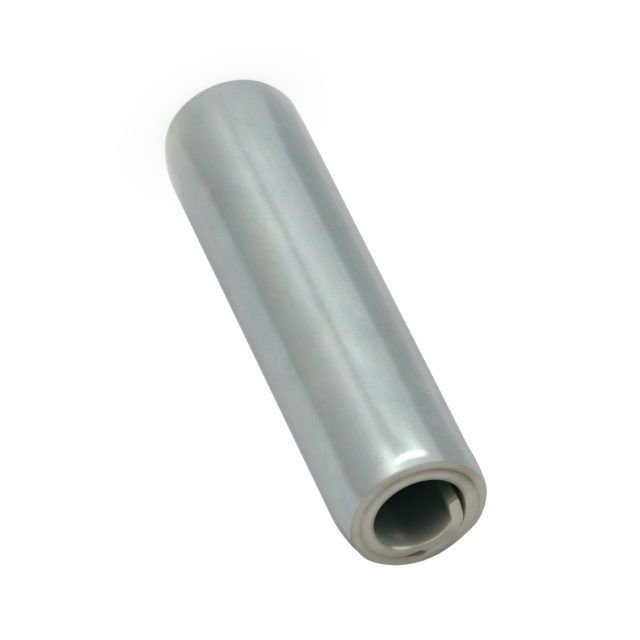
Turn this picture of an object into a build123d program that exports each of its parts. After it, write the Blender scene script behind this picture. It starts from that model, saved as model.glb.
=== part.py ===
from build123d import *
import math
import os

# A coiled spring pin: one strip of steel rolled on itself a little over two turns, with both
# ends pressed down to a smaller diameter so that they start easily in a hole.
#
# Frame: +Z is the pin's axis. The origin is the centre of the bottom end, and +X passes
# through the strip's outer edge. Seen from +Z the strip starts at its outer edge, at 0 degrees,
# and winds anticlockwise and inwards. Winding angles run on past 360 degrees.

# Driving dimensions, in millimetres and degrees.
pin_length = 32.0
body_diameter = 8.45  # free diameter, larger than the hole that the pin is driven into
strip_thickness = 0.70
wrap_gap = 0.04  # clearance between one wrap and the next

swage_length = 2.6  # length of each pressed-down end
swage_depth = 0.38  # how far the strip is pressed in at the very end
edge_break = 0.09  # width of the flat that breaks every edge of the two end faces

lip_thickness = 0.28  # the strip is thinned to this at its outer edge
step_reach = 48.0  # angle short of the lip at which the outer wrap turns in to pass under it
tail_delay = 45.0  # how far the inner wrap follows that turn before its tail bends away
tail_bend = 36.0  # how far the tail bends into the bore
tail_bend_radius = 0.80  # inside radius of that bend
tail_reach = 38.0  # angle past two full turns that the middle of the tail's edge reaches
strip_edge_radius = 0.22  # rounding of the strip's inner edge

SWAGE_SECTIONS = 6  # sections that shape one pressed-down end


def polar(radius, angle):
    """Point at a radius and a winding angle from the pin's axis."""
    return Vector(radius * math.cos(math.radians(angle)), radius * math.sin(math.radians(angle)))


def winding_angle(vector, near):
    """Direction of a vector in degrees, on the turn that is closest to the angle near."""
    angle = math.degrees(math.atan2(vector.Y, vector.X))
    return angle + 360 * round((near - angle) / 360)


def arc(centre, radius, start, end):
    """Arc about a centre, between two directions seen from it."""
    return CenterArc(centre, radius, start, end - start)


def coil_face(outer_radius, inset=0.0):
    """The strip's section, wound to an outer radius.

    Its round stretches are arcs, each tangent to the next. inset moves the whole outline
    into the metal, which leaves the smaller face inside a broken edge.
    """
    axis = Vector(0, 0)
    pitch = strip_thickness + wrap_gap
    step_start = 360 - step_reach

    # The outer wrap turns in on one arc until it is just under the end of the lip.
    under_lip = polar(outer_radius - lip_thickness - wrap_gap, 360)
    spread = outer_radius - under_lip.length * math.cos(math.radians(step_reach))
    turn_offset = (outer_radius**2 - under_lip.length**2) / (2 * spread)
    turn_centre = polar(turn_offset, step_start)
    turn_radius = outer_radius - turn_offset
    normal = (under_lip - turn_centre).normalized()
    turn_end = winding_angle(normal, 360)

    # A second arc carries it on inwards until it is concentric again, one pitch further in.
    inner_radius = outer_radius - pitch
    spread = under_lip.dot(normal) - inner_radius
    lap_radius = (under_lip.length**2 - inner_radius**2) / (2 * spread)
    lap_centre = under_lip - normal * lap_radius
    lap_end = winding_angle(-lap_centre, 450)

    # The inner wrap meets the same turn again, follows it, and bends away into the bore.
    tail_start = step_start + 360 + tail_delay
    tail_end = tail_start + tail_bend
    bend_radius = tail_bend_radius + strip_thickness
    bend_centre = turn_centre + polar(turn_radius - pitch - bend_radius, tail_start)

    # Outer side of the strip, arc by arc: centre, radius, and the angles where each one
    # starts and ends. The inner side runs one thickness inside the same arcs.
    winding = [
        (axis, outer_radius, 0, step_start),
        (turn_centre, turn_radius, step_start, turn_end),
        (lap_centre, lap_radius, turn_end, lap_end),
        (axis, inner_radius, lap_end, step_start + 360),
        (turn_centre, turn_radius - pitch, step_start + 360, tail_start),
        (bend_centre, bend_radius, tail_start, tail_end),
    ]
    outer_side = [arc(centre, radius - inset, start, end) for centre, radius, start, end in winding]
    inner_side = [
        arc(centre, radius - strip_thickness + inset, end, start)
        for centre, radius, start, end in reversed(winding[1:])
    ]

    # Under the lip the inner side follows the wrap below, which thins the strip to its edge.
    lip_under_side = [
        arc(axis, outer_radius - strip_thickness + inset, step_start, lap_end - 360),
        arc(lap_centre, lap_radius + wrap_gap + inset, lap_end - 360, turn_end - 360),
    ]
    lip_under = lip_under_side[-1] @ 1
    lip_top = outer_side[0] @ 0
    lip_tip = (lip_top + lip_under) / 2 - Vector(0, lip_thickness / 2 - inset)
    lip_edge = ThreePointArc(lip_under, lip_tip, lip_top)

    # The tail is straight, with a flat edge between two rounded corners. It runs on until the
    # middle of its edge reaches its angle about the axis.
    along = polar(1, tail_end + 90)
    tail_middle = bend_centre + polar(tail_bend_radius + strip_thickness / 2, tail_end)
    across_reach = polar(1, tail_reach + 90)
    tail_length = -tail_middle.dot(across_reach) / along.dot(across_reach) - strip_edge_radius
    outer_corner = bend_centre + polar(bend_radius - strip_edge_radius, tail_end) + along * tail_length
    inner_corner = (
        bend_centre + polar(tail_bend_radius + strip_edge_radius, tail_end) + along * tail_length
    )
    outer_round = arc(outer_corner, strip_edge_radius - inset, tail_end, tail_end + 90)
    inner_round = arc(inner_corner, strip_edge_radius - inset, tail_end + 90, tail_end + 180)
    tail = [
        Line(outer_side[-1] @ 1, outer_round @ 0),
        outer_round,
        Line(outer_round @ 1, inner_round @ 0),
        inner_round,
        Line(inner_round @ 1, inner_side[0] @ 0),
    ]
    return make_face(outer_side + tail + inner_side + lip_under_side + [lip_edge])


def swaged_radius(depth):
    """Outer radius of a pressed-down end, a depth in from the end face."""
    share = 1 - depth / swage_length
    return body_diameter / 2 - swage_depth * share**2


def swaged_end():
    """The bottom end: the same strip, wound tighter and tighter towards the end face."""
    spacing = (swage_length - edge_break) / (SWAGE_SECTIONS - 1)
    depths = [edge_break + spacing * step for step in range(SWAGE_SECTIONS)]
    sections = [Pos(0, 0, depth) * coil_face(swaged_radius(depth)) for depth in depths]
    end_face = coil_face(swaged_radius(edge_break), edge_break)
    return loft(sections) + loft([end_face, sections[0]], ruled=True)


def spring_pin():
    """The whole pin: a plain body between two swaged ends."""
    body = extrude(coil_face(body_diameter / 2), pin_length - 2 * swage_length)
    body = Pos(0, 0, swage_length) * body
    bottom = swaged_end()
    top = mirror(bottom, about=Plane.XY.offset(pin_length / 2))
    return bottom + body + top


os.makedirs("parts", exist_ok=True)
export_step(spring_pin(), "parts/spring_pin.step")
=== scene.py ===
import math

import bpy
import numpy as np
from mathutils import Matrix, Vector


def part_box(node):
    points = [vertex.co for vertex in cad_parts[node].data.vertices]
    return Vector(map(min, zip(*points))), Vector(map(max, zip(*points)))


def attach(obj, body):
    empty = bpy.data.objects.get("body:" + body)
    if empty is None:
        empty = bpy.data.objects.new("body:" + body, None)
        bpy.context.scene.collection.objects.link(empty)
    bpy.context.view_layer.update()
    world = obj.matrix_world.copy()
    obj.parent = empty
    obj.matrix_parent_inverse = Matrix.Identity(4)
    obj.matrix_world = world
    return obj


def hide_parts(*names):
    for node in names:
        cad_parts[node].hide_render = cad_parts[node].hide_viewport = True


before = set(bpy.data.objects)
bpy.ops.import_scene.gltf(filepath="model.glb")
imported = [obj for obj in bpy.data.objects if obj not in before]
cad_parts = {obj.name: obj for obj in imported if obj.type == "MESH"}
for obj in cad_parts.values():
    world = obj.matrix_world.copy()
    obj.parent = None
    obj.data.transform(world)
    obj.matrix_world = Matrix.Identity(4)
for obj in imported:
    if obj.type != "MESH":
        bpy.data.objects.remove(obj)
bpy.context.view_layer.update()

NODE = "spring_pin"

# Sizes in metres, angles in degrees. The strip is wound as in the CAD model: it starts at its
# outer edge, the lip, at 0 degrees, and its winding angle runs on past 360 on the inner wrap.
# Only the tail bends a little later, and a little more, than the CAD's.
MM = 0.001
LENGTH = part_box(NODE)[1].z
BODY_RADIUS = 4.225 * MM
STRIP = 0.70 * MM  # thickness
GAP = 0.04 * MM  # between one wrap and the next
LIP = 0.28 * MM  # the strip is thinned to this at its outer edge
STEP_REACH = 48.0  # angle short of the lip at which the outer wrap turns in to pass under it
STEP_START = 360.0 - STEP_REACH
TAIL_DELAY = 49.0  # how far the inner wrap follows that turn before its tail bends away
TAIL_BEND = 38.0
TAIL_BEND_RADIUS = 0.80 * MM
TAIL_REACH = 36.8  # angle past two turns that the middle of the tail's edge reaches
STRIP_EDGE_RADIUS = 0.22 * MM

# Each pressed-in end: its length, its depth at the face and the rounding of its outer corner.
# Both ends were pressed a little off centre.
TOP_SWAGE = (2.45 * MM, 0.19 * MM, 0.22 * MM)
BOTTOM_SWAGE = (2.90 * MM, 0.57 * MM, 0.16 * MM)
TOP_SHIFT = 0.155 * MM
TOP_SHIFT_ANGLE = 23.0
BOTTOM_SHIFT = 0.05 * MM
BOTTOM_SHIFT_ANGLE = 40.0

# The ends aren't quite round either: each stands a little proud round one angle, and the top
# one is dented round another. Angle, half-width and height.
TOP_SWELL = (300.0, 30.0, 0.105 * MM)
TOP_DENT = (237.0, 9.0, -0.09 * MM)
BOTTOM_SWELL = (50.0, 15.0, 0.17 * MM)

# Each end keeps its full width a little longer round one side: angle, half-width and height.
TOP_SHOULDER = (45.0, 22.0, 0.06 * MM)
BOTTOM_SHOULDER = (205.0, 18.0, 0.02 * MM)
OUTSIDE_END = 366.0  # all of these stop here, where the strip no longer shows on the outside

# Rounding of the other edges of the end faces, and the most that any rounding takes of the
# strip's thickness.
INNER_CORNER = 0.05 * MM
SEAM_CORNER = 0.012 * MM  # of the two edges that meet at the seam
SHUT_CORNER = 0.001 * MM  # of the same where the seam is pressed shut
ROUNDING_LIMIT = 0.45
COVERED_ANGLES = (350.0, 370.0)  # where the next wrap comes to cover the outer side
LIP_CORNER_END = 4.0  # the lip's inner edge has no seam up to this angle

# The bore's mouth at the top is rounded a little round one side, and more at a soft burr.
MOUTH_ANGLES = (235.0, 372.0)
MOUTH_ROUND = 0.07 * MM
MOUTH_FADE = 20.0
BURR_ANGLES = (266.0, 286.0)
BURR_SIZE = 0.14 * MM
BURR_FADE = 12.0

# How much darker and browner the top face is made along the winding: angle and strength. Its metal
# was smeared round one side.
FACE_DARKENING = (
    (0, 0.3), (25, 0.1), (48, 0.0), (60, 0.4), (75, 0.55), (90, 0.25), (120, 0.2), (135, 0.45),
    (150, 0.3), (180, 0.15), (225, 0.05), (240, 0.5), (270, 0.75), (300, 0.8), (315, 0.95),
    (330, 0.9), (345, 0.7), (360, 0.35), (380, 0.15), (405, 0.0), (422, 0.35), (435, 0.3),
    (450, 0.15), (465, 0.3), (480, 0.1), (555, 0.05), (585, 0.15), (600, 0.3), (615, 0.5),
    (630, 0.65), (650, 0.72), (700, 0.7), (712, 0.55), (725, 0.25), (745, 0.1),
)

# Brown dirt in the seam at the end faces: angle and strength.
SEAM_STAIN = (
    (0, 0.0), (28, 0.1), (45, 0.35), (60, 0.8), (105, 0.9), (120, 0.8), (150, 0.65), (165, 0.5),
    (195, 0.35), (240, 0.35), (255, 0.5), (270, 0.45), (285, 0.8), (303, 0.7), (310, 0.0), (360, 0.0),
)

# The seam between the wraps, where it was pressed at the top face: how far down that reaches,
# and how much of the gap it closes. It closes less of it round one side.
SEAM_RUN = 0.6 * MM
SHUT_SHARE = 0.95
SHUT_ANGLES = (306.0, 356.0)  # the stretch that shows no seam at all
SHUT_FADE = 4.0
LOOSE_SHARE = 0.45
LOOSE_ANGLES = (45.0, 95.0)
LOOSE_FADE = 20.0

# The seam is also pushed outwards, over these stretches of the outer and the inner wrap.
SEAM_PUSH = 0.085 * MM
OUTER_PUSH_ANGLES = (20.0, 285.0)
INNER_PUSH_ANGLES = (390.0, 645.0)
INNER_PUSH_SHARE = 0.5  # share of the inner wrap's thickness that gives way
PUSH_FADE = 30.0

# It opens into a short slot, which leans inwards from it.
SLOT_ANGLES = (283.0, 303.0)
SLOT_WIDTH = 0.085 * MM
SLOT_FADE = 16.0
SLOT_LEAN = 0.22 * MM
SLOT_LEAN_FADE = 8.0

# Near the top face the metal is smeared outwards up to the lip, and fills most of its step.
SMEAR_ANGLES = (324.0, 358.2)
SMEAR_SIZE = 0.26 * MM
SMEAR_RISE = 1.3  # how it grows towards the lip, as a power
SMEAR_RUN = (2.6 * MM, 0.9 * MM)  # depths below the face where it starts, and where it is full

TAIL_PRESS = 0.035 * MM  # how far the tail is pressed outwards at its tip
TAIL_SLANT = 0.20 * MM  # how much shorter the tail is along its inner side
TAIL_INNER_EDGE = 0.35  # rounding of the tail's inner corner, as a share of the outer one's
TAIL_THINNING = 0.06 * MM  # how much thinner the tail is pressed towards its tip
BEND_THINNING = 0.3  # share of that reached at the end of the bend

# Masks that tell the material where it is. An edge is the width over which a mask falls off
# away from it, and the distance, in such widths, at which it is gone. A stretch of the winding
# is its two angles and how softly it ends.
FACE_EDGE = (0.05 * MM, 1.2)
BORE_SIDE = 0.125  # the bore's look fades over this share of the thickness, in from its wall
BORE_START = (360.0, 368.0)  # and takes over all of the strip between these angles
STAIN_WIDTH = 0.19 * MM
STAIN_DEPTH = 0.5 * MM
BOTTOM_STAIN = 0.5  # strength of the dirt at the bottom face
RIM_DARKENING = (298.0, 335.0, 20.0)  # where the top face is darker towards its rim
RIM_GAIN = 0.55
RIM_LOSS = 1.1  # loss from one side of the strip to the other
SHADED = (405.0, 624.0, 20.0)  # where the top face darkens towards the bore
SHADED_BORE_EDGE = (0.24 * MM, 1.1)
SHADED_FACE_EDGE = (0.1 * MM, 1.5)
GLINT = (625.0, 641.0, 10.0)  # where a glint is painted on the bore's edge
GLINT_BORE_EDGE = (0.14 * MM, 1.3)
GLINT_FACE_EDGE = (0.14 * MM, 1.6)

# Painted daylight in the colour of the bore's wall: how far in it reaches from an end face, where it
# reaches further or less, and where the wall is dimmer with painted shade, also beside the slot.
LIGHT_REACH = 0.62 * MM
FAR_LIGHT = (585.0, 653.0, 14.0)
FAR_LIGHT_GAIN = 0.6
TAIL_LIGHT = (700.0, 745.0)
TAIL_LIGHT_LOSS = 0.35
TAIL_EDGE_REACH = 0.33 * MM
DIM_WALL = (402.0, 450.0, 10.0)
DIM_WALL_LOSS = 0.65
DIM_SLOT_FADE = 12.0
DIM_SLOT_WIDTH = 0.1 * MM
DIM_SLOT_LOSS = 0.4

# The painted light reaches down to a greater depth in the gap beside the tail, on the tail and on the
# wall across it.
GAP_REACH = 3.0 * MM
GAP_TAIL_START = 712.0
GAP_WALL = (374.0, 424.0, 14.0)
GAP_WALL_LEVEL = 0.8
GAP_WALL_COOLNESS = 0.7

# That painted light is a cool green round the wall below its edge, and warm again in a pale patch of
# painted reflection.
COOL_WALL = (470.0, 648.0, 40.0)
COOL_DEPTH = (0.0, 0.45 * MM)
REFLECTION_ANGLE = 282.0
REFLECTION_SPREAD = 7.0
REFLECTION_DEPTH = 1.02 * MM
REFLECTION_HEIGHT = 0.28 * MM
REFLECTION_LEVEL = 0.42
REFLECTION_WARMTH = 0.7

# Camera, aimed at a point on the pin's axis. Its azimuth is counted from +X, and its sensor and
# lens are in millimetres.
VIEW_AZIMUTH = 134.99
VIEW_ELEVATION = 40.51
VIEW_ROLL = 153.72
VIEW_DISTANCE = 80.0 * BODY_RADIUS
AIM_HEIGHT = 0.5137 * LENGTH
VIEW_CLIP = 0.01
SENSOR = 36.0
LENS = 338.3

# The strip's arcs that are named below, from its outer edge to the bend of its tail.
LIP_ARC = 0
STEP_ARC = 1
LAP_ARC = 2
BEND_ARC = 5

# Steps along the strip, arc by arc and on its tail, and round its section.
ARC_STEPS = (170, 44, 60, 90, 22, 18)
TAIL_STEPS = 8
ROUND_STEPS = 6
CORNER_STEPS = 6
SWAGE_STEPS = 14
SWAGE_SPACING = 1.2  # how the steps widen away from the face, as a power
BODY_STEPS = 12
FACE_ROWS = (0.03, 0.08, 0.16, 0.3, 0.5)  # rows on a face, in from its edge, as shares
EDGE_SWING = 85.0  # how far the strip's rounded edges are swept before they are capped


def cis(angle):
    """Unit complex number at an angle in degrees."""
    return np.exp(1j * np.radians(angle))


def dot(a, b):
    """Dot product of two vectors, each held as a complex number."""
    return (a * np.conj(b)).real


def bell(offset, width):
    """1 at no offset, falling off as a bell of this half-width."""
    return np.exp(-((offset / width) ** 2))


def near(distance, width, end=1.0):
    """1 close by, falling over a width to 0, which it reaches at end widths away."""
    return np.clip(end - distance / width, 0, 1)


def ramp(value, start, end):
    """0 before start, 1 after end, straight between them."""
    return np.clip((value - start) / (end - start), 0, 1)


def fade(value, start, end):
    """0 before start, 1 after end, smooth between them."""
    share = ramp(value, start, end)
    return share * share * (3 - 2 * share)


def bump(angle, start, end, soft):
    """1 between two angles, falling smoothly to 0 outside them."""
    rise = np.clip((angle - start) / soft + 0.5, 0, 1)
    fall = np.clip((end - angle) / soft + 0.5, 0, 1)
    share = np.minimum(rise, fall)
    return share * share * (3 - 2 * share)


def add_object(name, data):
    """An object in the scene, with this mesh or camera."""
    new = bpy.data.objects.new(name, data)
    bpy.context.scene.collection.objects.link(new)
    return new


def winding_arcs(radius):
    """The strip's outer side, wound to an array of outer radii, as in the CAD model.

    Each arc is its centre as a complex number, radius, start angle and end angle.
    """
    pitch = STRIP + GAP
    under = radius - LIP - GAP
    spread = radius - under * math.cos(math.radians(STEP_REACH))
    turn_offset = (radius**2 - under**2) / (2 * spread)
    turn_centre = turn_offset * cis(STEP_START)
    turn_radius = radius - turn_offset
    normal = (under - turn_centre) / abs(under - turn_centre)
    turn_end = 360 + np.degrees(np.angle(normal))
    inner = radius - pitch
    lap_radius = (under**2 - inner**2) / (2 * (dot(under, normal) - inner))
    lap_centre = under - normal * lap_radius
    lap_end = 360 + np.degrees(np.angle(-lap_centre))
    tail_start = STEP_START + 360 + TAIL_DELAY
    bend_radius = TAIL_BEND_RADIUS + STRIP
    bend_centre = turn_centre + (turn_radius - pitch - bend_radius) * cis(tail_start)
    return [
        (0 * normal, radius, 0.0, STEP_START),
        (turn_centre, turn_radius, STEP_START, turn_end),
        (lap_centre, lap_radius, turn_end, lap_end),
        (0 * normal, inner, lap_end, STEP_START + 360),
        (turn_centre, turn_radius - pitch, STEP_START + 360, tail_start),
        (bend_centre, bend_radius, tail_start, tail_start + TAIL_BEND),
    ]


def station_list():
    """Stations along the strip: arc, share of the arc, share of the tail, edge swing."""
    swing = np.linspace(0, EDGE_SWING, ROUND_STEPS)
    rows = [(LIP_ARC, 0.0, 0.0, -angle) for angle in swing[:0:-1]]
    for index, steps in enumerate(ARC_STEPS):
        rows += [(index, share, 0.0, 0.0) for share in np.linspace(0, 1, steps, endpoint=False)]
    tail = np.linspace(0, 1, TAIL_STEPS, endpoint=False)
    rows += [(BEND_ARC, 1.0, share, 0.0) for share in tail]
    rows += [(BEND_ARC, 1.0, 1.0, angle) for angle in swing]
    return [np.array(column) for column in zip(*rows)]


ARC, SHARE, TAIL_SHARE, SWING = station_list()


def strip_at(radius):
    """Outer side of the strip at each station, for a grid of outer radii (rows, stations)."""
    arcs = winding_arcs(radius)
    centre, reach, start, end = (
        np.choose(ARC, [np.broadcast_to(arc[part], radius.shape) for arc in arcs])
        for part in range(4)
    )
    angle = start + (end - start) * SHARE
    normal = cis(angle)
    along = normal * 1j
    point = centre + reach * normal
    # the tail runs straight to its angle about the axis, and both edges of the strip are round
    tail_middle = point - STRIP / 2 * normal
    across = cis(TAIL_REACH + 90)
    tail_length = -dot(tail_middle, across) / dot(along, across) - STRIP_EDGE_RADIUS
    edge_radius = np.where(SWING < 0, LIP / 2, STRIP_EDGE_RADIUS)
    point = point + along * (tail_length * TAIL_SHARE + edge_radius * np.sin(np.radians(SWING)))
    shrink = edge_radius * (1 - np.cos(np.radians(SWING)))
    # under the lip the inner side follows the wrap below it
    lap_centre, lap_radius, _, lap_end = arcs[LAP_ARC]
    toward = dot(lap_centre, normal)
    wrap_below = toward + np.sqrt(toward**2 - abs(lap_centre) ** 2 + (lap_radius + GAP) ** 2)
    thin = (ARC == LIP_ARC) & (angle < lap_end - 360)
    thickness = np.where(thin, radius - wrap_below, STRIP)
    return point, normal, angle, thickness, shrink


def outer_radius(z):
    """Outer radius of the pin at a height."""
    top = TOP_SWAGE[1] * near(LENGTH - z, TOP_SWAGE[0]) ** 2
    bottom = BOTTOM_SWAGE[1] * near(z, BOTTOM_SWAGE[0]) ** 2
    return BODY_RADIUS - top - bottom


def side_heights(bottom_round, top_round):
    """Heights of the rows up one side of the strip, between its two rounded corners."""
    ease = np.linspace(0, 1, SWAGE_STEPS)[1:, None] ** SWAGE_SPACING
    bottom = bottom_round + ease * (BOTTOM_SWAGE[0] - bottom_round)
    top = LENGTH - top_round - ease[::-1] * (TOP_SWAGE[0] - top_round)
    body = np.linspace(bottom[-1], top[0], BODY_STEPS)[1:-1]
    return np.concatenate([bottom, body, top])


def face_rows(base, sign, outer, inner, thickness):
    """Rows from the outer side, over an end face and its two rounded edges, to the inner side."""
    swing = np.radians(np.linspace(0, 90, CORNER_STEPS))[:, None]
    first_half = np.array(FACE_ROWS)[:, None]
    shares = np.concatenate([first_half, 1 - first_half[-2::-1]])
    z = [base - sign * outer * (1 - np.sin(swing)), base + 0 * shares * outer]
    z += [base - sign * inner * (1 - np.cos(swing))]
    depth = [outer * (1 - np.cos(swing)), outer + shares * (thickness - outer - inner)]
    depth += [thickness - inner * (1 - np.sin(swing))]
    return np.concatenate(z), np.concatenate(depth)


def section_rows(turns, thickness):
    """Height and depth of each row round the strip's section, at every station.

    It takes the winding angles and the thickness of the full-size body. The rows start in the
    middle of the bottom face, go up the outer side, over the top face and down the inner side.
    """
    limit = ROUNDING_LIMIT * thickness
    covered = ramp(turns, *COVERED_ANGLES)
    shut = bump(turns % 360, *SHUT_ANGLES, SHUT_FADE)
    seam_corner = SEAM_CORNER + (SHUT_CORNER - SEAM_CORNER) * shut
    top_outer = np.minimum(TOP_SWAGE[2] + (seam_corner - TOP_SWAGE[2]) * covered, limit)
    bottom_outer = np.minimum(BOTTOM_SWAGE[2] + (SEAM_CORNER - BOTTOM_SWAGE[2]) * covered, limit)
    at_seam = (turns < 360) & (turns > LIP_CORNER_END)
    inner = np.where(at_seam, seam_corner, np.minimum(INNER_CORNER, limit))
    burr = BURR_SIZE * bump(turns - 360, *BURR_ANGLES, BURR_FADE)
    burr = burr + MOUTH_ROUND * bump(turns - 360, *MOUTH_ANGLES, MOUTH_FADE)
    top_inner = np.minimum(inner + burr * covered, limit)
    top_z, top_depth = face_rows(LENGTH, 1, top_outer, top_inner, thickness)
    low_z, low_depth = face_rows(0.0, -1, bottom_outer, inner, thickness)
    outer_z = side_heights(bottom_outer, top_outer)[:-1]
    inner_z = side_heights(inner, top_inner)[:-1][::-1]
    middle = CORNER_STEPS + len(FACE_ROWS) - 1
    z = [low_z[middle::-1], outer_z, top_z, inner_z, low_z[:middle:-1]]
    depth = [low_depth[middle::-1], 0 * outer_z, top_depth, 0 * inner_z + thickness]
    depth += [low_depth[:middle:-1]]
    return np.concatenate(z), np.concatenate(depth)


def seam_inset(z, share, angle):
    """How far the pressing at the top face sets each point of the strip inwards."""
    turn = angle % 360
    outer_wrap = angle < 360
    near_top = near(LENGTH - z, SEAM_RUN)
    opening = np.sqrt(near_top)
    closed = 1 - LOOSE_SHARE * bump(turn, *LOOSE_ANGLES, LOOSE_FADE)
    closed = np.maximum(bump(turn, *SHUT_ANGLES, SHUT_FADE), closed)
    shut = SHUT_SHARE * GAP * opening * closed * outer_wrap * share

    lean = SLOT_LEAN * ramp(turn, *SLOT_ANGLES) * bump(turn, *SLOT_ANGLES, SLOT_LEAN_FADE)
    half_slot = SLOT_WIDTH / 2 * bump(turn, *SLOT_ANGLES, SLOT_FADE)
    slot = np.where(outer_wrap, (half_slot - lean) * share, (lean + half_slot) * (1 - share))
    slot = slot * opening

    outer_push = share * bump(angle, *OUTER_PUSH_ANGLES, PUSH_FADE)
    inner_push = near(share, INNER_PUSH_SHARE) * bump(angle, *INNER_PUSH_ANGLES, PUSH_FADE)
    push = SEAM_PUSH * near_top * np.where(outer_wrap, outer_push, inner_push)
    return slot + shut - push


def lip_smear(z, share, point):
    """How far the metal beside the lip is smeared outwards."""
    place = np.degrees(np.angle(point)) % 360
    rise = ramp(place, *SMEAR_ANGLES) ** SMEAR_RISE
    in_step = (ARC == STEP_ARC) & (place < SMEAR_ANGLES[1])
    return SMEAR_SIZE * ramp(LENGTH - z, *SMEAR_RUN) * rise * in_step * (1 - share)


def end_outline(z, share, angle, normal):
    """What the uneven pressing of the two ends adds to each point, as a complex offset."""
    top = near(LENGTH - z, TOP_SWAGE[0])
    bottom = near(z, BOTTOM_SWAGE[0])
    height = 0
    for (middle, spread, size), rise in (
        (TOP_SWELL, np.minimum(2 * top**2, 1)),
        (TOP_DENT, np.minimum(2 * top**2, 1)),
        (BOTTOM_SWELL, np.minimum(2 * bottom**2, 1)),
        (TOP_SHOULDER, 4 * top * (1 - top)),
        (BOTTOM_SHOULDER, 4 * bottom * (1 - bottom)),
    ):
        off = (angle - middle + 180) % 360 - 180
        height = height + size * bell(off, spread) * rise
    shift = TOP_SHIFT * top**2 * cis(TOP_SHIFT_ANGLE)
    shift = shift + BOTTOM_SHIFT * bottom**2 * cis(BOTTOM_SHIFT_ANGLE)
    return height * normal * (angle < OUTSIDE_END) * (1 - share) + shift


def strip_faces(rows, count):
    """Quads along the strip, and two rows of quads that cap its edges."""
    faces = []
    for i in range(count - 1):
        for j in range(rows):
            k = (j + 1) % rows
            faces.append((i * rows + j, (i + 1) * rows + j, (i + 1) * rows + k, i * rows + k))
    last = (count - 1) * rows
    for j in range(rows // 2 - 1):
        k = rows - 1 - j
        faces.append((j, j + 1, k - 1, k))
        faces.append((last + j, last + k, last + k - 1, last + j + 1))
    return faces


def build_pin():
    """The rolled strip as one mesh."""
    _, _, full_angle, full_thickness, _ = strip_at(np.full((1, len(ARC)), BODY_RADIUS))
    z, depth = section_rows(full_angle[0], full_thickness[0])
    point, normal, angle, thickness, shrink = strip_at(outer_radius(z))
    depth = depth * thickness / full_thickness
    share = depth / thickness

    in_bend = ARC == BEND_ARC
    inner_shrink = shrink * np.where(SWING > 0, TAIL_INNER_EDGE, 1)
    thinning = in_bend * (BEND_THINNING * SHARE + (1 - BEND_THINNING) * TAIL_SHARE)
    inset = shrink + share * (thickness - shrink - inner_shrink - TAIL_THINNING * thinning)
    inset = inset + seam_inset(z, share, angle) - lip_smear(z, share, point)
    flat = point - inset * normal - 1j * normal * TAIL_SLANT * TAIL_SHARE * share
    flat += TAIL_PRESS * normal * in_bend * SHARE
    flat += end_outline(z, share, angle, normal)

    points = np.stack([flat.real, flat.imag, z], -1).transpose(1, 0, 2).reshape(-1, 3)
    mesh = bpy.data.meshes.new("rolled_pin")
    mesh.from_pydata(points.tolist(), [], strip_faces(*z.shape))
    mesh.validate()
    mesh.shade_smooth()
    add_masks(mesh, z, depth, thickness, angle)
    return add_object("rolled_pin", mesh)


def gap_wall(depth, thickness, angle):
    """The stretch of the bore's wall across the gap from the tail."""
    return bump(angle, *GAP_WALL) * (depth > thickness / 2)


def wall_light(from_face, depth, thickness, angle):
    """Painted daylight for the bore wall's colour, round the winding, on the tail and in the gap
    beside it.
    """
    reach = 1 + FAR_LIGHT_GAIN * bump(angle, *FAR_LIGHT) - TAIL_LIGHT_LOSS * fade(angle, *TAIL_LIGHT)
    reach = np.where(SWING > 0, TAIL_EDGE_REACH, LIGHT_REACH * reach)
    gap_side = (angle > GAP_TAIL_START) & (depth < thickness / 2) & (SWING == 0)
    reach = np.where(gap_side, GAP_REACH, reach)
    light = np.exp(-from_face / reach) * (1 - DIM_WALL_LOSS * bump(angle, *DIM_WALL))
    across = GAP_WALL_LEVEL * np.exp(-from_face / GAP_REACH)
    return np.maximum(light, across * gap_wall(depth, thickness, angle))


def add_masks(mesh, z, depth, thickness, angle):
    """Where the strip's end faces, its seam and its inner surfaces lie, and where light, shade and a
    glint are painted, as point attributes.
    """
    turn = angle % 360
    top = z > LENGTH / 2
    from_face = np.minimum(z, LENGTH - z)
    from_seam = np.where(angle < 360, thickness - depth, depth)
    from_bore = thickness - depth

    face_darkening = np.interp(angle, *zip(*FACE_DARKENING)) * top
    face_darkening *= 1 + bump(angle, *RIM_DARKENING) * (RIM_GAIN - RIM_LOSS * depth / thickness)
    seam = bell(from_seam, STAIN_WIDTH) * (from_face < STAIN_DEPTH)
    seam *= np.interp(turn, *zip(*SEAM_STAIN)) * np.where(top, 1, BOTTOM_STAIN)
    shaded = near(from_bore, *SHADED_BORE_EDGE) * near(from_face, *SHADED_FACE_EDGE)
    glint = near(from_bore, *GLINT_BORE_EDGE) * near(from_face, *GLINT_FACE_EDGE)

    # a pale patch of painted reflection deep in the bore, and painted shade beside the slot, in the
    # painted daylight
    reflection = bell(turn - REFLECTION_ANGLE, REFLECTION_SPREAD)
    reflection = reflection * bell(LENGTH - z - REFLECTION_DEPTH, REFLECTION_HEIGHT)
    beside_slot = bump(turn, *SLOT_ANGLES, DIM_SLOT_FADE) * (from_seam < DIM_SLOT_WIDTH)
    light = wall_light(from_face, depth, thickness, angle) * (1 - DIM_SLOT_LOSS * beside_slot)
    cool = bump(angle, *COOL_WALL) * ramp(from_face, *COOL_DEPTH) * (1 - REFLECTION_WARMTH * reflection)
    masks = {
        "end_face": near(from_face, *FACE_EDGE),
        "face_darkening": face_darkening,
        "painted_glint": glint * bump(angle, *GLINT) * top,
        "shaded": shaded * bump(angle, *SHADED) * top,
        "inside": np.maximum(near(from_bore, BORE_SIDE * thickness), ramp(angle, *BORE_START)),
        "mouth": light + REFLECTION_LEVEL * reflection,
        "cool": np.maximum(cool, GAP_WALL_COOLNESS * gap_wall(depth, thickness, angle)),
        "seam": seam,
    }
    for name, values in masks.items():
        layer = mesh.attributes.new(name, "FLOAT", "POINT")
        layer.data.foreach_set("value", values.T.astype(np.float32).ravel())


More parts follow.
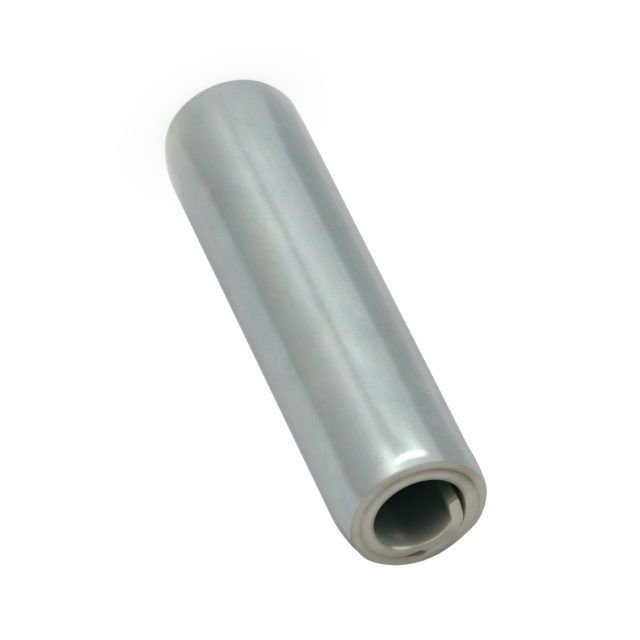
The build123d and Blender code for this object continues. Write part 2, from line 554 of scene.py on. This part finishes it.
class Graph:
    """Short calls for the nodes of one material."""

    def __init__(self, name):
        self.material = bpy.data.materials.new(name)
        self.material.use_nodes = True
        self.nodes = self.material.node_tree.nodes
        self.links = self.material.node_tree.links
        self.nodes.clear()

    def add(self, kind, **settings):
        """A node of this kind, with its settings."""
        node = self.nodes.new("ShaderNode" + kind)
        for name, value in settings.items():
            setattr(node, name, value)
        return node

    def plug(self, value, socket):
        """A link where the value is a socket, and the socket's own number otherwise."""
        if isinstance(value, bpy.types.NodeSocket):
            self.links.new(value, socket)
        else:
            socket.default_value = value

    def finish(self, shader):
        """The material, with this shader on its surface."""
        self.plug(shader.outputs[0], self.add("OutputMaterial").inputs[0])
        return self.material

    def mask(self, name):
        """One of the masks that the mesh carries."""
        return self.add("Attribute", attribute_name=name).outputs["Fac"]

    def math(self, operation, a, b):
        """One step of arithmetic on sockets or numbers."""
        node = self.add("Math", operation=operation)
        self.plug(a, node.inputs[0])
        self.plug(b, node.inputs[1])
        return node.outputs[0]

    def spread(self, value, low, high, out_low=0.0, out_high=1.0):
        """A value from low to high, spread over another range and held there."""
        node = self.add("MapRange", interpolation_type="SMOOTHSTEP")
        for number, part in zip((low, high, out_low, out_high), (1, 2, 3, 4)):
            node.inputs[part].default_value = number
        self.plug(value, node.inputs[0])
        return node.outputs[0]

    def mix(self, share, a, b):
        """Colour a with a share of colour b over it."""
        node = self.add("Mix", data_type="RGBA")
        self.plug(share, node.inputs[0])
        self.plug((*a, 1) if isinstance(a, tuple) else a, node.inputs[6])
        self.plug((*b, 1) if isinstance(b, tuple) else b, node.inputs[7])
        return node.outputs[2]

    def blend(self, share, a, b):
        """The same for two numbers."""
        node = self.add("Mix", data_type="FLOAT")
        self.plug(share, node.inputs[0])
        self.plug(a, node.inputs[2])
        self.plug(b, node.inputs[3])
        return node.outputs[0]

    def place(self, z_scale=1.0):
        """Object coordinates in millimetres, scaled along the pin's axis."""
        node = self.add("Mapping")
        node.inputs["Scale"].default_value = (1 / MM, 1 / MM, z_scale / MM)
        self.plug(self.add("TexCoord").outputs["Object"], node.inputs[0])
        return node.outputs[0]

    def noise(self, size, z_scale=1.0, detail=2.0, rough=0.5):
        """Noise whose lumps have about this size in millimetres, divided by z_scale along z."""
        node = self.add("TexNoise")
        node.inputs["Scale"].default_value = 1 / size
        node.inputs["Detail"].default_value = detail
        node.inputs["Roughness"].default_value = rough
        self.plug(self.place(z_scale), node.inputs["Vector"])
        return node.outputs[0]

    def patches(self, colour, table):
        """A colour with patches of others over it, as PLATE_PATCHES describes them."""
        for over, start, full, *lumps in table:
            colour = self.mix(self.spread(self.noise(*lumps), start, full), colour, over)
        return colour

    def bump(self, height, distance, normal=None):
        """A relief whose full height is a distance in millimetres, over another's normal."""
        node = self.add("Bump")
        node.inputs["Distance"].default_value = distance * MM
        self.plug(height, node.inputs["Height"])
        if normal:
            self.plug(normal, node.inputs["Normal"])
        return node.outputs[0]


# Colours of the plated strip.
ZINC = (0.575, 0.655, 0.630)
ZINC_GREEN = (0.596, 0.672, 0.602)
ZINC_BLUE = (0.550, 0.642, 0.655)
ZINC_VIOLET = (0.598, 0.640, 0.636)
ZINC_BRIGHT = (0.700, 0.775, 0.755)
ZINC_DULL = (0.470, 0.545, 0.530)
SPECK_GLINT = (0.820, 0.860, 0.840)
SPECK_DARK = (0.420, 0.470, 0.450)
CUT_WARM = (0.442, 0.426, 0.363)
CUT_GREEN = (0.418, 0.425, 0.350)
CUT_ROSE = (0.466, 0.431, 0.378)
CUT_DARK = (0.372, 0.360, 0.305)
CUT_DARKENED = (0.128, 0.118, 0.096)
SEAM_BROWN = (0.170, 0.145, 0.100)
# A painted glint on the bore's edge.
GLINT_PAINT = (0.720, 0.690, 0.575)
# The bore's warm and cool painted daylight, and the painted shade deep in it and on the top face by
# its edge.
BORE_WARM_LIGHT = (0.800, 0.730, 0.540)
BORE_COOL_LIGHT = (0.784, 0.927, 0.734)
BORE_SHADE = (0.045, 0.100, 0.085)

# Noise is the size of its lumps in millimetres, its scale along the pin, its detail and its
# roughness, of which the last ones may be left out. A patch is its colour, the levels of noise
# where it starts and where it is full, and the noise.
PLATE_PATCHES = (
    (ZINC_GREEN, 0.42, 0.66, 1.6, 0.6, 3.0),
    (ZINC_BLUE, 0.46, 0.66, 1.3, 0.5, 3.0),
    (ZINC_VIOLET, 0.50, 0.68, 0.9, 1.0, 3.0),
)
CUT_PATCHES = (
    (CUT_GREEN, 0.45, 0.65, 0.45),
    (CUT_ROSE, 0.50, 0.68, 0.7, 1.0, 3.0),
    (CUT_DARK, 0.48, 0.70, 2.4),
)

# Clouds and fine grain, each its strength and its noise, make the plate lighter where the noise
# is above the middle level and duller where it is below.
PLATE_MOTTLE = (
    (0.70, 1.7, 0.6, 6.0, 0.62),
    (0.36, 0.13, 1.0, 3.0, 0.6),
)
MOTTLE_LEVELS = (0.2, 0.5, 0.8)

# Specks lie about this far apart, in millimetres, and fade between two shares of that distance.
# Each place has a random number: it holds a bright speck, a painted glint, above one range, and a
# dark one below the other.
SPECK_SPACING = 0.8
SPECK_EDGE = (0.02, 0.10)
SPECK_STRENGTH = 0.8
BRIGHT_ABOVE = (0.70, 0.72)
DARK_BELOW = (0.15, 0.17)

# How strongly the masks colour the end faces, and how patchy the dirt is.
DARKENING_STRENGTH = 0.8
SHADED_STRENGTH = 0.70
DIRT_NOISE = (0.5,)
DIRT_LEVELS = (0.25, 0.6)
DIRT_STRENGTH = (0.7, 1.0)

# Roughness, which varies with noise between two values.
ROUGH_LEVELS = (0.3, 0.7)
PLATE_ROUGH_NOISE = (1.1, 0.22, 4.0)
PLATE_ROUGH = (0.13, 0.19)
CUT_ROUGH_NOISE = (0.2,)
CUT_ROUGH = (0.34, 0.46)
BORE_ROUGH = 0.45
GLINT_ROUGH = 0.2
DULL_LOSS = 0.5  # how much less metallic the cut faces and the bore are

# Relief of the plate, as its height in millimetres and its noise: it sways a little, with
# drawing lines along it and fine peel. The cut faces are rougher.
PLATE_RELIEF = (
    (0.03, 2.2, 0.3),
    (0.0035, 0.5, 0.06, 3.0),
    (0.006, 0.35, 1.0, 4.0, 0.6),
)
CUT_RELIEF = (0.3, 1.0, 4.0, 0.6)
CUT_RELIEF_HEIGHT = 0.03


def plate_colour(g):
    """Zinc plate, tinted in faint patches by its passivation, mottled, and a little specked with
    painted glints and dark dots.
    """
    tint = g.patches(ZINC, PLATE_PATCHES)
    low, middle, high = MOTTLE_LEVELS
    for strength, *noise in PLATE_MOTTLE:
        lumps = g.noise(*noise)
        tint = g.mix(g.spread(lumps, middle, high, 0.0, strength), tint, ZINC_BRIGHT)
        tint = g.mix(g.spread(lumps, low, middle, strength, 0.0), tint, ZINC_DULL)
    cell = g.add("TexVoronoi")
    cell.inputs["Scale"].default_value = 1 / SPECK_SPACING
    g.plug(g.place(), cell.inputs["Vector"])
    chance = g.add("SeparateColor")
    g.plug(cell.outputs["Color"], chance.inputs[0])
    specks = g.spread(cell.outputs["Distance"], *SPECK_EDGE, SPECK_STRENGTH, 0.0)
    bright = g.math("MULTIPLY", specks, g.spread(chance.outputs[0], *BRIGHT_ABOVE))
    dark = g.math("MULTIPLY", specks, g.spread(chance.outputs[0], *DARK_BELOW, 1.0, 0.0))
    return g.mix(dark, g.mix(bright, tint, SPECK_GLINT), SPECK_DARK)


def cut_colour(g):
    """The cut end faces: mottled, darker and browner round one side, with brown dirt in the seam."""
    cut = g.patches(CUT_WARM, CUT_PATCHES)
    cut = g.mix(g.math("MULTIPLY", g.mask("face_darkening"), DARKENING_STRENGTH), cut, CUT_DARKENED)
    dirt = g.spread(g.noise(*DIRT_NOISE), *DIRT_LEVELS, *DIRT_STRENGTH)
    return g.mix(g.math("MULTIPLY", g.mask("seam"), dirt), cut, SEAM_BROWN)


def zinc_material():
    """Bright zinc plate on the strip, warmer on the cut end faces, and dull inside the bore, whose
    colour carries painted daylight and painted shade, with a painted glint at its edge.
    """
    g = Graph("zinc_plate")
    face = g.mask("end_face")
    inside = g.mask("inside")
    painted_glint = g.mask("painted_glint")

    colour = g.mix(face, plate_colour(g), cut_colour(g))
    # painted shade in the bore, lightened by warm and cool painted daylight near its ends
    bore = g.mix(g.mask("mouth"), BORE_SHADE, g.mix(g.mask("cool"), BORE_WARM_LIGHT, BORE_COOL_LIGHT))
    colour = g.mix(g.math("MULTIPLY", inside, g.math("SUBTRACT", 1.0, face)), colour, bore)
    # painted shade on the top face towards the bore's edge
    colour = g.mix(g.math("MULTIPLY", g.mask("shaded"), SHADED_STRENGTH), colour, BORE_SHADE)
    # a painted glint on the bore's edge
    colour = g.mix(painted_glint, colour, GLINT_PAINT)

    plate_rough = g.spread(g.noise(*PLATE_ROUGH_NOISE), *ROUGH_LEVELS, *PLATE_ROUGH)
    cut_rough = g.spread(g.noise(*CUT_ROUGH_NOISE), *ROUGH_LEVELS, *CUT_ROUGH)
    rough = g.blend(inside, g.blend(face, plate_rough, cut_rough), BORE_ROUGH)
    rough = g.blend(painted_glint, rough, GLINT_ROUGH)

    normal = None
    for height, *noise in PLATE_RELIEF:
        normal = g.bump(g.noise(*noise), height, normal)
    cut_relief = g.math("MULTIPLY", g.noise(*CUT_RELIEF), face)
    normal = g.bump(cut_relief, CUT_RELIEF_HEIGHT, normal)

    shader = g.add("BsdfPrincipled")
    dull = g.math("MULTIPLY", g.math("MAXIMUM", inside, face), DULL_LOSS)
    g.plug(colour, shader.inputs["Base Color"])
    g.plug(g.math("SUBTRACT", 1.0, dull), shader.inputs["Metallic"])
    g.plug(rough, shader.inputs["Roughness"])
    g.plug(normal, shader.inputs["Normal"])
    return g.finish(shader)


FLOOR_SIZE = 6.0  # the floor's side, in metres
FLOOR_GREY = (0.30, 0.30, 0.30)
FLOOR_GLOW = 0.74


def floor_material():
    """A grey floor that looks paler to the camera and in reflections, but lights nothing more."""
    g = Graph("studio_floor")
    diffuse = g.add("BsdfDiffuse")
    diffuse.inputs["Color"].default_value = (*FLOOR_GREY, 1)
    glow = g.add("Emission")
    glow.inputs["Strength"].default_value = FLOOR_GLOW
    pale = g.add("AddShader")
    g.plug(diffuse.outputs[0], pale.inputs[0])
    g.plug(glow.outputs[0], pale.inputs[1])
    ray = g.add("LightPath").outputs
    seen = g.math("MAXIMUM", ray["Is Camera Ray"], ray["Is Glossy Ray"])
    shader = g.add("MixShader")
    g.plug(g.math("MAXIMUM", seen, ray["Is Transmission Ray"]), shader.inputs[0])
    g.plug(diffuse.outputs[0], shader.inputs[1])
    g.plug(pale.outputs[0], shader.inputs[2])
    return g.finish(shader)


def add_floor():
    """The studio floor, level with the pin's bottom end."""
    half = FLOOR_SIZE / 2
    mesh = bpy.data.meshes.new("floor")
    corners = [(-half, -half, 0), (half, -half, 0), (half, half, 0), (-half, half, 0)]
    mesh.from_pydata(corners, [], [(0, 1, 2, 3)])
    mesh.materials.append(floor_material())
    add_object("floor", mesh)


# The light tent round the pin, seen only in its reflections: radius and height of its wall,
# which curves in under the pin's pressed-in foot, and the rows and columns of its points. The
# tent's sizes and heights are in millimetres, and its azimuths are counted from the camera.
TENT_WALL = (
    (3.72, 0.02), (4.2, 0.05), (5.2, 0.35), (6.3, 1.1), (7.1, 2.3), (7.5, 4.0), (7.5, 24.0),
    (7.5, 36.0), (7.5, 48.0),
)
TENT_ROWS = (3, 6, 6, 5, 5, 20, 90, 12)
TENT_AROUND = 480

# Its brightness round the pin: azimuth and level.
TENT_BANDS = (
    (-180, 0.92), (-168, 0.95), (-160, 0.72), (-150, 0.60), (-140, 0.62), (-122, 0.56), (-100, 0.61),
    (-92, 0.54), (-82, 0.49), (-66, 0.47), (-57, 0.49), (-52, 0.68), (-46, 0.69), (-34, 0.78),
    (-20, 0.92), (-13, 0.86), (-9.5, 0.70), (-6, 0.77), (-1, 0.89), (3, 0.88), (9, 0.74), (18, 0.61),
    (32, 0.52), (49, 0.45), (54, 0.57), (62, 0.62), (90, 0.59), (105, 0.53), (118, 0.44), (128, 0.50),
    (142, 0.75), (156, 0.95), (166, 0.72), (180, 0.92),
)

# Its brightness low down, where the foot reflects it, and how that gives way upwards.
FOOT_BANDS = (
    (-180, 0.90), (-120, 0.89), (-105, 0.73), (-80, 0.66), (-60, 0.58), (-35, 0.65), (-15, 0.68),
    (5, 0.67), (25, 0.58), (45, 0.65), (60, 0.72), (75, 0.76), (90, 0.87), (110, 0.88), (180, 0.90),
)
FOOT_HEIGHT = 1.0
FOOT_POWER = 1.2

# A dark line widens upwards into a wedge, and ends. Here and below, a pair of heights is where
# something starts to change and where it has changed.
WEDGE_LEVEL = 0.73
WEDGE_SIDES = (-9.5, -6.5)
WEDGE_SOFTNESS = 3.0
WEDGE_START = (22.0, 24.0)
WEDGE_WIDENS = (23.5, 29.0)
WEDGE_WIDENING = 10.0
WEDGE_END = (28.3, 29.0)

# Two streaks brighten upwards to a lamp: gain, azimuth and half-width. The main one widens,
# and widens more on one side, past a pair of azimuths.
SIDE_STREAK = (0.45, -31.0, 8.0)
SIDE_STREAK_START = (25.0, 29.0)
SIDE_STREAK_POWER = 1.5
SIDE_STREAK_END = (29.5, 30.5)
MAIN_STREAK = (0.50, -0.5, 7.5)
MAIN_STREAK_START = (26.5, 30.5)
MAIN_STREAK_END = (32.5, 37.0)
MAIN_STREAK_WIDENS = (29.0, 30.5)
MAIN_STREAK_WIDENING = 2.5
WIDER_SIDE = (0.0, 12.0)
WIDER_SIDE_WIDENING = 3.0

# The lamp is a soft bar that rises along its length, curves up and thickens.
LAMP_SIDES = (-39.0, -5.0, 10.0)
LAMP_HEIGHT = (-35.0, 29.53)  # an azimuth, and its height there
LAMP_SLOPE = 0.009
LAMP_CURVE_START = -20.0
LAMP_CURVE = 0.0009
LAMP_THICKNESS = 0.17
LAMP_THICKENING = 0.09
LAMP_THICKENS = (-40.0, -22.0)
LAMP_LEVEL = 1.2
LAMP_RED = 0.2
LAMP_BLUE = 0.03

# Soft patches of the tent. Each is its gain, its two sides and their softness, and the heights
# between which it comes in, and goes out again. Three ranges lie beyond the tent's own edges.
ALL_ROUND = (-999.0, 999.0, 1.0)
FROM_FLOOR = (-2.0, -1.0)
TO_TOP = (98.0, 99.0)
TENT_SHADES = (  # added to the level
    (-0.13, (-34.0, 4.0, 24.0), FROM_FLOOR, (1.5, 6.5)),
    (-0.05, (-145.0, -108.0, 14.0), (10.0, 18.0), (27.0, 29.0)),
)
TENT_DIMMED = (  # shares of the level
    (-0.12, ALL_ROUND, (32.5, 38.0), TO_TOP),
    (-0.36, (112.0, 146.0, 10.0), (25.5, 30.0), TO_TOP),
)
TENT_WARMTH = (
    (0.50, ALL_ROUND, (29.6, 31.0), TO_TOP),
    (0.40, ALL_ROUND, FROM_FLOOR, (0.0, 1.5)),
    (0.25, (2.0, 48.0, 8.0), FROM_FLOOR, TO_TOP),
    (0.20, (-100.0, -78.0, 10.0), FROM_FLOOR, TO_TOP),
    (-0.35, (-78.0, -14.0, 10.0), FROM_FLOOR, TO_TOP),
    (-0.35, (52.0, 78.0, 10.0), (4.0, 10.0), TO_TOP),
    (0.60, (48.0, 115.0, 12.0), FROM_FLOOR, (2.0, 8.0)),
)
LESS_GREEN = (0.02, (52.0, 120.0, 10.0), FROM_FLOOR, TO_TOP)
WARM_RED = 0.055
WARM_BLUE = 0.05

# The dark line is lighter above the wedge and by the foot: gain, azimuth and half-width, and
# the heights between which that comes in, and goes out again.
LINE_LIFTS = (
    (0.12, -10.0, 5.0, (29.0, 30.0), TO_TOP),
    (0.10, -9.5, 4.0, FROM_FLOOR, (2.0, 7.0)),
)


def tent_patch(azimuth, height, patch):
    """One soft patch of the tent."""
    gain, sides, rise, fall = patch
    return gain * bump(azimuth, *sides) * fade(height, *rise) * (1 - fade(height, *fall))


def streak_light(azimuth, height):
    """The two streaks, and what lightens the dark line."""
    gain, middle, width = SIDE_STREAK
    rise = ramp(height, *SIDE_STREAK_START) ** SIDE_STREAK_POWER
    light = gain * bell(azimuth - middle, width) * (1 - fade(height, *SIDE_STREAK_END)) * rise

    gain, middle, width = MAIN_STREAK
    wider = MAIN_STREAK_WIDENING + WIDER_SIDE_WIDENING * fade(azimuth, *WIDER_SIDE)
    width = width + wider * fade(height, *MAIN_STREAK_WIDENS)
    streak = gain * bell(azimuth - middle, width) * (1 - fade(height, *MAIN_STREAK_END))
    light = light + streak * fade(height, *MAIN_STREAK_START)

    for gain, middle, width, rise, fall in LINE_LIFTS:
        lift = gain * bell(azimuth - middle, width)
        light = light + lift * fade(height, *rise) * (1 - fade(height, *fall))
    return light


def lamp_light(azimuth, height):
    """1 along the middle of the lamp, falling softly to 0 round it."""
    along = azimuth - LAMP_HEIGHT[0]
    curve = LAMP_CURVE * np.maximum(azimuth - LAMP_CURVE_START, 0) ** 2
    middle = LAMP_HEIGHT[1] + LAMP_SLOPE * along + curve
    thickness = LAMP_THICKNESS + LAMP_THICKENING * fade(azimuth, *LAMP_THICKENS)
    return bump(azimuth, *LAMP_SIDES) * bell(height - middle, thickness)


def tent_light(azimuth, height):
    """Colour of the tent's light, for azimuths in degrees and heights in millimetres."""
    level = np.interp(azimuth, *zip(*TENT_BANDS)) + 0 * height
    left = WEDGE_SIDES[0] - WEDGE_WIDENING * ramp(height, *WEDGE_WIDENS)
    wedge = bump(azimuth, left, WEDGE_SIDES[1], WEDGE_SOFTNESS)
    wedge = wedge * fade(height, *WEDGE_START) * (1 - fade(height, *WEDGE_END))
    level = level + (WEDGE_LEVEL - level) * wedge

    lamp = lamp_light(azimuth, height)
    level = level + streak_light(azimuth, height) + LAMP_LEVEL * lamp
    for patch in TENT_SHADES:
        level = level + tent_patch(azimuth, height, patch)
    for patch in TENT_DIMMED:
        level = level * (1 + tent_patch(azimuth, height, patch))
    foot = np.interp(azimuth, *zip(*FOOT_BANDS))
    level = level + (foot - level) * np.exp(-((height / FOOT_HEIGHT) ** FOOT_POWER))

    warmth = sum(tent_patch(azimuth, height, patch) for patch in TENT_WARMTH)
    red = level * (1 + WARM_RED * warmth) + LAMP_RED * lamp
    green = level * (1 - tent_patch(azimuth, height, LESS_GREEN))
    blue = level * (1 - WARM_BLUE * warmth) + LAMP_BLUE * lamp
    return np.stack([red, green, blue], -1)


def tent_material():
    """A glow in the colours that the tent's mesh carries."""
    g = Graph("tent_light")
    glow = g.add("Emission")
    colour = g.add("Attribute", attribute_name="light")
    g.plug(colour.outputs["Vector"], glow.inputs["Color"])
    return g.finish(glow)


def add_tent():
    """The light tent, which only reflections see."""
    pairs = zip(TENT_WALL[:-1], TENT_WALL[1:], TENT_ROWS)
    rows = [np.linspace(low, high, count, endpoint=False) for low, high, count in pairs]
    wall = np.concatenate(rows + [np.array(TENT_WALL[-1:])])
    around, up = TENT_AROUND, len(wall)
    azimuth = np.linspace(-180, 180, around, endpoint=False)[:, None]
    ring = wall[:, 0] * MM * cis(azimuth + VIEW_AZIMUTH)
    height = wall[:, 1] + 0 * azimuth
    points = np.stack([ring.real, ring.imag, height * MM], -1).reshape(-1, 3)
    faces = []
    for i in range(around):
        k = (i + 1) % around
        for j in range(up - 1):
            faces.append((i * up + j, k * up + j, k * up + j + 1, i * up + j + 1))
    mesh = bpy.data.meshes.new("light_tent")
    mesh.from_pydata(points.tolist(), [], faces)
    light = mesh.attributes.new("light", "FLOAT_VECTOR", "POINT")
    light.data.foreach_set("vector", tent_light(azimuth, height).astype(np.float32).ravel())
    mesh.materials.append(tent_material())
    tent = add_object("light_tent", mesh)
    for ray in ("camera", "diffuse", "transmission", "shadow", "volume_scatter"):
        setattr(tent, "visible_" + ray, False)


def set_world():
    """A plain white world, which gives the scene its soft light."""
    world = bpy.data.worlds.new("studio")
    bpy.context.scene.world = world
    world.use_nodes = True
    background = world.node_tree.nodes["Background"]
    background.inputs["Color"].default_value = (1, 1, 1, 1)
    background.inputs["Strength"].default_value = 1.0


def add_camera():
    """The camera, rolled about its line of sight."""
    azimuth, elevation = math.radians(VIEW_AZIMUTH), math.radians(VIEW_ELEVATION)
    outward = Vector((
        math.cos(elevation) * math.cos(azimuth),
        math.cos(elevation) * math.sin(azimuth),
        math.sin(elevation),
    ))
    data = bpy.data.cameras.new("camera")
    data.sensor_width = SENSOR
    data.lens = LENS
    data.clip_start = VIEW_CLIP
    camera = add_object("camera", data)
    turn = outward.to_track_quat("Z", "Y").to_matrix().to_4x4()
    roll = Matrix.Rotation(math.radians(VIEW_ROLL), 4, "Z")
    place = Matrix.Translation(Vector((0, 0, AIM_HEIGHT)) + outward * VIEW_DISTANCE)
    camera.matrix_world = place @ turn @ roll
    bpy.context.scene.camera = camera


pin = build_pin()
pin.data.materials.append(zinc_material())
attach(pin, "root")
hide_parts(NODE)
add_floor()
add_tent()
set_world()
add_camera()
bpy.context.scene.view_settings.view_transform = "Standard"
